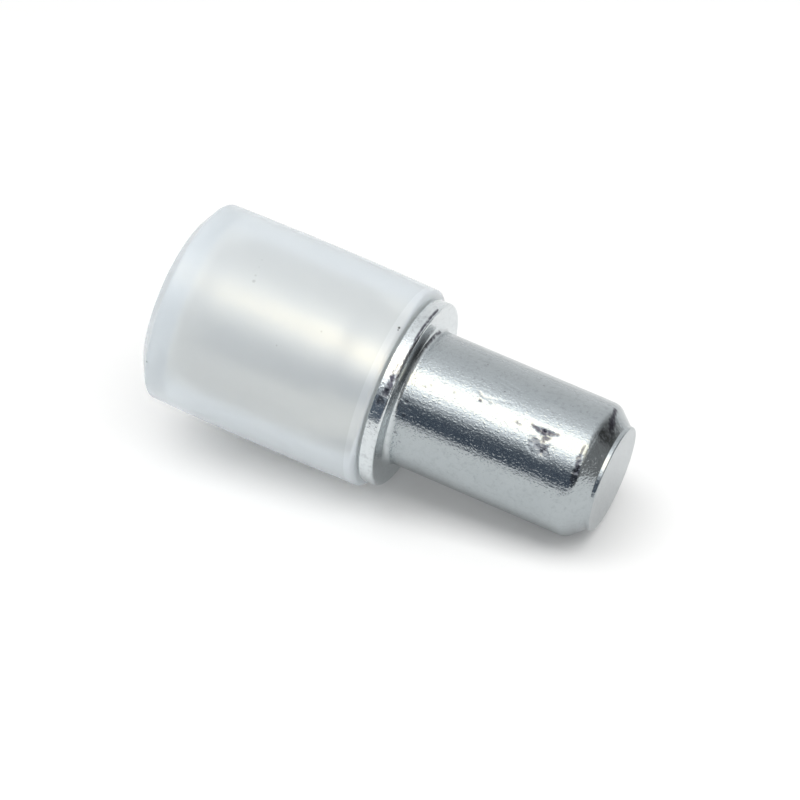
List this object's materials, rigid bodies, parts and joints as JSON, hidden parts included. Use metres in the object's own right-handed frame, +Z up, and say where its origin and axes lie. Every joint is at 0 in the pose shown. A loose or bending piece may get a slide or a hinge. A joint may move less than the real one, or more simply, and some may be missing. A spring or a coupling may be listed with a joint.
{
  "type": "shelf support pin",
  "caption": "Round steel shelf support pin with a chamfered shank, a stop collar and a milky plastic sleeve that cushions the shelf.",
  "frame": {"origin": "centre of the collar's seat face, which meets the cabinet side", "axes": "+X along the pin's axis, towards the tip of the shank; +Z up as in use, with the shelf resting on the top of the sleeve"},
  "size_m": [0.0168, 0.0076, 0.0076],
  "materials": {
    "zinc_plated_steel": "bright zinc plate, slightly blue, with fine pits and scuffs",
    "milky_plastic": "translucent, milky, satin"
  },
  "bodies": {
    "root": {"pin": "zinc_plated_steel", "sleeve": "milky_plastic"}
  },
  "joints": []
}
